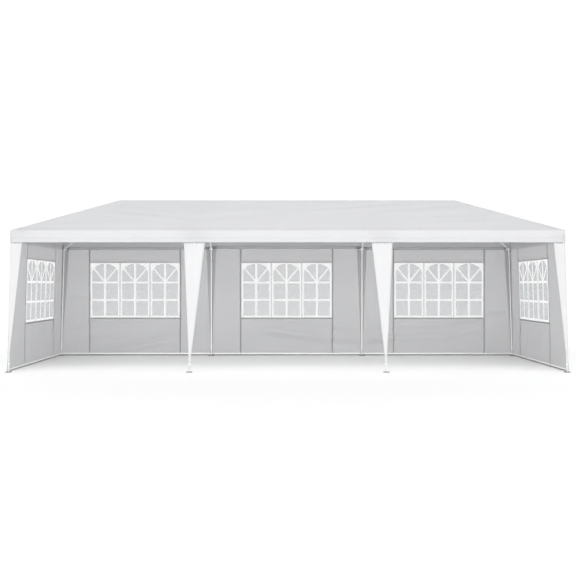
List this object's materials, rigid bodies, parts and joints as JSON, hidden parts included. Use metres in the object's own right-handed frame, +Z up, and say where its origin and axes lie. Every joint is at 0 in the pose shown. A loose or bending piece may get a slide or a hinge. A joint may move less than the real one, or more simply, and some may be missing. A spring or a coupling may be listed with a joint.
{
  "type": "marquee tent",
  "caption": "Long party tent with a hipped fabric roof, valance, tapering leg skirts, back and end walls with arched windows, and an open front on a steel-tube frame.",
  "frame": {"origin": "on the ground, at the middle of the tent's plan", "axes": "+X along the length to the right seen from the open front, +Y from the open front to the closed back, +Z up"},
  "size_m": [9.18, 3.0592, 2.9499],
  "materials": {
    "frame_steel": "white powder coat",
    "canopy_fabric": "white woven polyethylene",
    "skirt_fabric": "white woven polyethylene",
    "wall_fabric": "white woven polyethylene, lets light through",
    "window_film": "clear film with white printed bars"
  },
  "bodies": {
    "root": {"back_centre_eave_pole": "frame_steel", "back_centre_ground_rail": "frame_steel", "back_centre_wall": "wall_fabric", "back_centre_window": "window_film", "back_left_corner_leg": "frame_steel", "back_left_corner_skirt": "skirt_fabric", "back_left_eave_pole": "frame_steel", "back_left_ground_rail": "frame_steel", "back_left_hip_pole": "frame_steel", "back_left_middle_leg": "frame_steel", "back_left_middle_skirt": "skirt_fabric", "back_left_rafter": "frame_steel", "back_left_wall": "wall_fabric", "back_left_window": "window_film", "back_right_corner_leg": "frame_steel", "back_right_corner_skirt": "skirt_fabric", "back_right_eave_pole": "frame_steel", "back_right_ground_rail": "frame_steel", "back_right_hip_pole": "frame_steel", "back_right_middle_leg": "frame_steel", "back_right_middle_skirt": "skirt_fabric", "back_right_rafter": "frame_steel", "back_right_wall": "wall_fabric", "back_right_window": "window_film", "back_roof_panel": "canopy_fabric", "back_valance": "canopy_fabric", "centre_ridge_pole": "frame_steel", "front_centre_eave_pole": "frame_steel", "front_left_corner_leg": "frame_steel", "front_left_corner_skirt": "skirt_fabric", "front_left_eave_pole": "frame_steel", "front_left_hip_pole": "frame_steel", "front_left_middle_leg": "frame_steel", "front_left_middle_skirt": "skirt_fabric", "front_left_rafter": "frame_steel", "front_right_corner_leg": "frame_steel", "front_right_corner_skirt": "skirt_fabric", "front_right_eave_pole": "frame_steel", "front_right_hip_pole": "frame_steel", "front_right_middle_leg": "frame_steel", "front_right_middle_skirt": "skirt_fabric", "front_right_rafter": "frame_steel", "front_roof_panel": "canopy_fabric", "front_valance": "canopy_fabric", "left_end_eave_pole": "frame_steel", "left_end_ground_rail": "frame_steel", "left_end_wall": "wall_fabric", "left_end_window": "window_film", "left_ridge_pole": "frame_steel", "left_roof_end": "canopy_fabric", "left_valance": "canopy_fabric", "right_end_eave_pole": "frame_steel", "right_end_ground_rail": "frame_steel", "right_end_wall": "wall_fabric", "right_end_window": "window_film", "right_ridge_pole": "frame_steel", "right_roof_end": "canopy_fabric", "right_valance": "canopy_fabric"}
  },
  "joints": []
}
